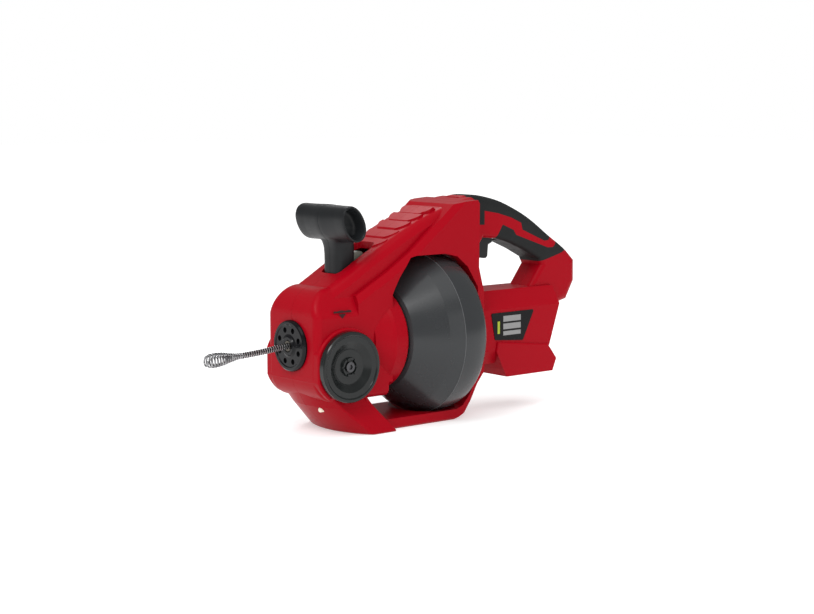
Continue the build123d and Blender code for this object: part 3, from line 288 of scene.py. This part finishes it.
def tube(name, pts, radius, material, sides=10, caps=True):
    """Tube mesh along points; radius is a number or a function of the index."""
    fr = frames_along(pts)
    verts, faces = [], []
    for i, (p, t, n, b) in enumerate(fr):
        r = radius(i) if callable(radius) else radius
        for k in range(sides):
            a = 2 * math.pi * k / sides
            verts.append(p + (n * math.cos(a) + b * math.sin(a)) * r)
    for i in range(len(pts) - 1):
        for k in range(sides):
            k2 = (k + 1) % sides
            faces.append((i * sides + k, i * sides + k2, (i + 1) * sides + k2, (i + 1) * sides + k))
    if caps:
        faces.append(tuple(range(sides))[::-1])
        faces.append(tuple((len(pts) - 1) * sides + k for k in range(sides)))
    return mesh_object(name, verts, faces, material)


def nurbs_points(points, samples=14):
    """Points read from a NURBS line through the route's control points."""
    cu = bpy.data.curves.new("route", "CURVE")
    cu.dimensions = "3D"
    sp = cu.splines.new("NURBS")
    sp.points.add(len(points) - 1)
    for q, p in zip(sp.points, points):
        q.co = (*p, 1)
    sp.order_u = 3
    sp.use_endpoint_u = True
    sp.resolution_u = samples
    ob = link(bpy.data.objects.new("route", cu))
    me = bpy.data.meshes.new_from_object(ob.evaluated_get(bpy.context.evaluated_depsgraph_get()))
    pts = [v.co.copy() for v in me.vertices]
    bpy.data.objects.remove(ob)
    bpy.data.curves.remove(cu)
    bpy.data.meshes.remove(me)
    if (pts[0] - Vector(points[0])).length > (pts[-1] - Vector(points[0])).length:
        pts.reverse()
    return pts


def resample(pts, step):
    out, carry = [pts[0].copy()], 0.0
    for a, b in zip(pts, pts[1:]):
        d = (b - a).length
        s = step - carry
        while s <= d:
            out.append(a.lerp(b, s / d))
            s += step
        carry = d - (s - step)
    if (out[-1] - pts[-1]).length > step * 0.3:
        out.append(pts[-1].copy())
    else:
        out[-1] = pts[-1].copy()
    return out


# ------------------------------------------------------------------ snake cable and its bulb head
ROUTE = [P(-5.3, 0, 0), P(-17.0, 0, -0.7), P(-36.0, 0, -3.0), P(-60.0, 0, -4.4)]
line = resample(nurbs_points(ROUTE), 0.00045)
cable_len = sum((b - a).length for a, b in zip(line, line[1:]))


def wound_tube(name, pts, r_out, pitch, material, depth=0.00042, sides=28):
    """Close-wound wire: a tube whose wall is a helix of round ridges."""
    fine = resample(pts, pitch / 7)
    fr = frames_along(fine)
    verts, faces, s = [], [], 0.0
    for i, (p, t, n, b) in enumerate(fr):
        if i:
            s += (fine[i] - fine[i - 1]).length
        for k in range(sides):
            a = 2 * math.pi * k / sides
            ph = (s / pitch + k / sides) % 1.0
            x = abs(ph - 0.5) * 2
            r = r_out - depth * (1 - math.sqrt(max(0.0, 1 - x * x * 0.96)))
            verts.append(p + (n * math.cos(a) + b * math.sin(a)) * r)
    for i in range(len(fine) - 1):
        for k in range(sides):
            k2 = (k + 1) % sides
            faces.append((i * sides + k, i * sides + k2, (i + 1) * sides + k2, (i + 1) * sides + k))
    faces.append(tuple(range(sides))[::-1])
    faces.append(tuple((len(fine) - 1) * sides + k for k in range(sides)))
    return mesh_object(name, verts, faces, material)


snake = wound_tube("snake_cable_wound", line, 0.003, 0.0026, CABLE, depth=0.0008, sides=32)
# faces down in the grooves between the turns get the near-black material: painted shade in the recesses
snake.data.materials.append(CABLE_GROOVE_SHADE)
for i, f in enumerate(snake.data.polygons):
    if len(f.vertices) == 4:
        ph = ((i // 32 + 0.5) / 7.0 + (i % 32 + 0.5) / 32) % 1.0
        if abs(ph - 0.5) * 2 > 0.45:
            f.material_index = 1
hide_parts("snake_cable")
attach(snake, "snake")

# the bulb: one wire wound into an open helix that swells and closes again
tip_dir = Vector((-41.2, 0, -1.9)).normalized()
side_dir = tip_dir.cross(Vector((0, 1, 0))).normalized()
up_dir = tip_dir.cross(side_dir).normalized()
start = P(-60.0, 0, -4.4)
WIRE = 0.00088


def bulb_radius(s):
    """Radius of the wire's centreline along the head, s from 0 to 42 mm."""
    pts = [(0, 2.15), (6, 2.5), (13, 3.7), (22, 5.6), (29, 6.3), (35, 6.1), (39, 4.9), (41.0, 3.4)]
    for (a, ra), (b, rb) in zip(pts, pts[1:]):
        if s <= b:
            u = (s - a) / (b - a)
            u = u * u * (3 - 2 * u) * 0.5 + u * 0.5
            return ra + (rb - ra) * u
    return pts[-1][1]


helix, s, ang = [], 0.0, 0.0
while s < 40.9:
    pitch = 2.5 if s < 6 else 2.5 + (s - 6) * 0.026
    r = bulb_radius(s) / 1000
    helix.append(start + tip_dir * (s / 1000) + (side_dir * math.cos(ang) + up_dir * math.sin(ang)) * r)
    ang += 2 * math.pi / 30
    s += pitch / 30
bulb = tube("auger_bulb", helix, WIRE, AUGER, sides=9)
core_pts = [start + tip_dir * (x / 1000) for x in (-1.0, 2, 5, 8, 11)]
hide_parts("auger_tip")
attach(bulb, "snake")

# ------------------------------------------------------------------ front handle


def superellipse(cx, cz, rx, rz, y, n=40, e=2.3):
    out = []
    for k in range(n):
        a = 2 * math.pi * k / n
        c, s_ = math.cos(a), math.sin(a)
        out.append(P(cx + rx * math.copysign(abs(c) ** (2 / e), c), y, cz + rz * math.copysign(abs(s_) ** (2 / e), s_)))
    return out


def loft_rings(name, rings, material):
    n = len(rings[0])
    verts = [v for r in rings for v in r]
    faces = []
    for i in range(len(rings) - 1):
        for k in range(n):
            k2 = (k + 1) % n
            faces.append((i * n + k, i * n + k2, (i + 1) * n + k2, (i + 1) * n + k))
    faces.append(tuple(range(n))[::-1])
    faces.append(tuple((len(rings) - 1) * n + k for k in range(n)))
    ob = mesh_object(name, verts, faces, material)
    bm = bmesh.new()
    bm.from_mesh(ob.data)
    bmesh.ops.recalc_face_normals(bm, faces=bm.faces)
    bm.to_mesh(ob.data)
    bm.free()
    return ob


# crossbar: leans forward at the top, with a wide deep socket in each end
BX, BZ, LEAN = 47.2, 117.2, math.radians(29)


def bar_ring(y, rx, rz, dx=0.0, dz=0.0, n=48, e=2.15):
    out = []
    for k in range(n):
        a_ = 2 * math.pi * k / n
        c, s_ = math.cos(a_), math.sin(a_)
        u = rx * math.copysign(abs(c) ** (2 / e), c)
        w = rz * math.copysign(abs(s_) ** (2 / e), s_)
        out.append(P(BX + dx + u * math.cos(LEAN) - w * math.sin(LEAN), y, BZ + dz + u * math.sin(LEAN) + w * math.cos(LEAN)))
    return out


bar_rings = []
for y, rx, rz in ((-25.5, 6.5, 11.0), (-26.5, 8.2, 13.2), (-35.0, 9.9, 15.6), (-37.6, 10.8, 16.6), (-38.9, 11.5, 17.4),
                  (-38.7, 12.4, 18.3), (-36.6, 13.0, 18.9), (-32, 13.2, 19.0), (-24, 13.3, 18.8), (-12, 14.0, 18.8), (-4, 14.6, 19.0)):
    bar_rings.append(bar_ring(y, rx, rz))
mirror_rings = [[Vector((v.x, -v.y, v.z)) for v in r] for r in bar_rings[::-1]]
bar = loft_rings("handle_bar", bar_rings + mirror_rings, HANDLE)


def rounded_rect(cx, rx, ry, z, e=4.2, n=48):
    out = []
    for k in range(n):
        a = 2 * math.pi * k / n
        c, s_ = math.cos(a), math.sin(a)
        out.append(P(cx + rx * math.copysign(abs(c) ** (2 / e), c), ry * math.copysign(abs(s_) ** (2 / e), s_), z))
    return out


stem_rings = [rounded_rect(cx, rx, ry, z) for z, cx, rx, ry in (
    (57.6, 57.6, 11.4, 12.8), (66, 57.7, 11.5, 12.9), (76, 57.8, 11.6, 13.0), (86, 57.8, 11.7, 13.2), (93, 57.4, 11.9, 13.5), (98, 56.4, 12.2, 14.4),
    (102, 55.0, 12.6, 16.6), (106, 53.2, 13.0, 20.4), (110, 51.4, 13.0, 24.0), (114, 49.6, 12.4, 26.0), (118, 48.2, 10.5, 25.5))]
stem = loft_rings("handle_stem", stem_rings, HANDLE)

bm = bmesh.new()
bm.from_mesh(bar.data)
bm.from_mesh(stem.data)
handle_me = bpy.data.meshes.new("front_handle_grip")
bm.to_mesh(handle_me)
bm.free()
for o in (bar, stem):
    bpy.data.objects.remove(o)
handle = link(bpy.data.objects.new("front_handle_grip", handle_me))
rm = handle.modifiers.new("remesh", "REMESH")
rm.mode = "VOXEL"
rm.voxel_size = 0.0008
sm = handle.modifiers.new("smooth", "SMOOTH")
sm.factor = 0.5
sm.iterations = 14
handle_me2 = bpy.data.meshes.new_from_object(handle.evaluated_get(bpy.context.evaluated_depsgraph_get()))
handle.modifiers.clear()
handle.data = handle_me2
# parting line between the handle's two halves
bm = bmesh.new()
bm.from_mesh(handle.data)
for off in (-0.00035, 0.0, 0.00035):
    bmesh.ops.bisect_plane(bm, geom=bm.verts[:] + bm.edges[:] + bm.faces[:], plane_co=(0, off, 0), plane_no=(0, 1, 0))
bm.normal_update()
for v in bm.verts:
    if abs(v.co.y) < 1e-6 and v.co.z > ZA + 0.060:
        v.co -= v.normal * 0.0007
for f in bm.faces:
    f.smooth = True
bm.to_mesh(handle.data)
bm.free()
handle.data.materials.clear()
handle.data.materials.append(HANDLE)
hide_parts("front_handle")
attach(handle, "feed_lever")

# ------------------------------------------------------------------ printed marks and small trims


def flat_poly(name, pts, material, body, thick=0.00018):
    """Thin printed mark: a closed outline in a side wall, pts are points already placed in the frame."""
    n = len(pts)
    verts = [Vector(p) for p in pts] + [Vector(p) + Vector((0, -thick, 0)) for p in pts]
    faces = [tuple(range(n)), tuple(range(n, 2 * n))[::-1]]
    for k in range(n):
        k2 = (k + 1) % n
        faces.append((k, k2, n + k2, n + k))
    ob = mesh_object(name, verts, faces, material, smooth=False)
    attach(ob, body)
    return ob


def ring(name, x, r, wire, material, body, n=160, sides=8):
    """Round bead around the drum axis at x mm."""
    verts, faces = [], []
    for i in range(n):
        a_ = 2 * math.pi * i / n
        for k in range(sides):
            t = 2 * math.pi * k / sides
            rr = r + wire * math.cos(t)
            verts.append(P(x + wire * math.sin(t), rr * math.cos(a_), rr * math.sin(a_)))
    for i in range(n):
        i2 = (i + 1) % n
        for k in range(sides):
            k2 = (k + 1) % sides
            faces.append((i * sides + k, i2 * sides + k, i2 * sides + k2, i * sides + k2))
    ob = mesh_object(name, verts, faces, material)
    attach(ob, body)
    return ob


# a real raised bead at the drum's seam, coloured lighter grey than the drum as a painted highlight
ring("drum_seam_bead_painted_highlight", 151.95, 82.55, 0.34, SEAM_HIGHLIGHT_GREY, "drum")

# small direction mark on the feed housing's side: a bar over a triangle
ym = -40.02
flat_poly("side_mark_bar", [P(19.4, ym, 33.4), P(41.0, ym, 33.2), P(41.0, ym, 35.0), P(37.5, ym, 35.6), P(33.5, ym, 35.0), P(28.5, ym, 35.9), P(23.5, ym, 35.1), P(19.4, ym, 35.4)], PRINT_DARK, "body")
flat_poly("side_mark_arrow", [P(25.6, ym, 32.2), P(34.6, ym, 32.2), P(30.1, ym, 27.6)], PRINT_DARK, "body")

# plain decoration on the side labels: three stacked bars, and one upright bar beside them
for sgn, tag in ((-1, "left"), (1, "right")):
    yl = sgn * 35.62
    th = 0.00012 * (1 if sgn < 0 else -1)

    def quad(name, x0, x1, z0, z1, material):
        flat_poly(name, [P(x0, yl, z0), P(x1, yl, z0), P(x1, yl, z1), P(x0, yl, z1)], material, "body", thick=th)

    quad(f"label_{tag}_bar_top", 246.5, 271.5, 6.2, 12.2, PRINT_GREY)
    quad(f"label_{tag}_bar_mid", 246.5, 271.5, -1.8, 4.2, PRINT_GREY)
    quad(f"label_{tag}_bar_low", 246.5, 271.5, -8.2, -3.8, PRINT_GREY)
    quad(f"label_{tag}_upright", 238.4, 241.6, -6.0, 7.0, PRINT_LIME)

# ------------------------------------------------------------------ floor, light
floor_me = bpy.data.meshes.new("floor")
floor_me.from_pydata([(-9, -9, 0), (9, -9, 0), (9, 9, 0), (-9, 9, 0)], [], [(0, 1, 2, 3)])
floor = link(bpy.data.objects.new("floor", floor_me))
fm, fnt, fb = new_mat("floor_white")
fn = noise(fnt, 3.0, 3.0, 0.5, obj_coords(fnt))
fr_ = ramp(fnt, fn.outputs["Fac"], [(0.3, grey(0.66)), (0.7, grey(0.675))])
fnt.links.new(fr_.outputs[0], fb.inputs["Base Color"])
fb.inputs["Roughness"].default_value = 0.8
fb.inputs["Specular IOR Level"].default_value = 0.0
fb.inputs["Emission Color"].default_value = (1, 1, 1, 1)
fb.inputs["Emission Strength"].default_value = 0.42
floor_me.materials.append(fm)
floor.location = (0, 0, -0.0002)

world = bpy.data.worlds.new("studio")
bpy.context.scene.world = world
world.use_nodes = True
bg = world.node_tree.nodes["Background"]
bg.inputs["Color"].default_value = (1, 1, 1, 1)
bg.inputs["Strength"].default_value = 1.0
# the same white room, but dimmer where it is only mirrored, so that dark plastics stay dark
path = world.node_tree.nodes.new("ShaderNodeLightPath")
dim = world.node_tree.nodes.new("ShaderNodeMapRange")
dim.inputs["To Min"].default_value = 1.0
dim.inputs["To Max"].default_value = 0.3
world.node_tree.links.new(path.outputs["Is Glossy Ray"], dim.inputs["Value"])
world.node_tree.links.new(dim.outputs["Result"], bg.inputs["Strength"])


def area(name, loc, target, size, power, size_y=None):
    la = bpy.data.lights.new(name, "AREA")
    la.shape = "RECTANGLE"
    la.size, la.size_y = size, size_y or size
    la.energy = power
    o = link(bpy.data.objects.new(name, la))
    o.location = loc
    o.rotation_euler = (Vector(target) - Vector(loc)).to_track_quat("-Z", "Y").to_euler()
    return o


sun_data = bpy.data.lights.new("sky_panel", "SUN")
sun_data.energy = 0.75
sun_data.angle = math.radians(50)
sun = link(bpy.data.objects.new("sky_panel", sun_data))
sun.rotation_euler = (Vector((0, 0, 0)) - Vector((-0.35, -0.35, 1.0))).to_track_quat("-Z", "Y").to_euler()
area("key", (-1.1, -0.5, 1.3), (0, 0, 0.1), 0.45, 7)
area("rim", (0.5, 0.9, 1.2), (0, 0, 0.12), 0.5, 4)
area("strip", (-0.2, -1.7, 0.55), (0.0, 0, 0.1), 0.16, 1.6, 0.9)

bpy.context.scene.view_settings.view_transform = "Standard"
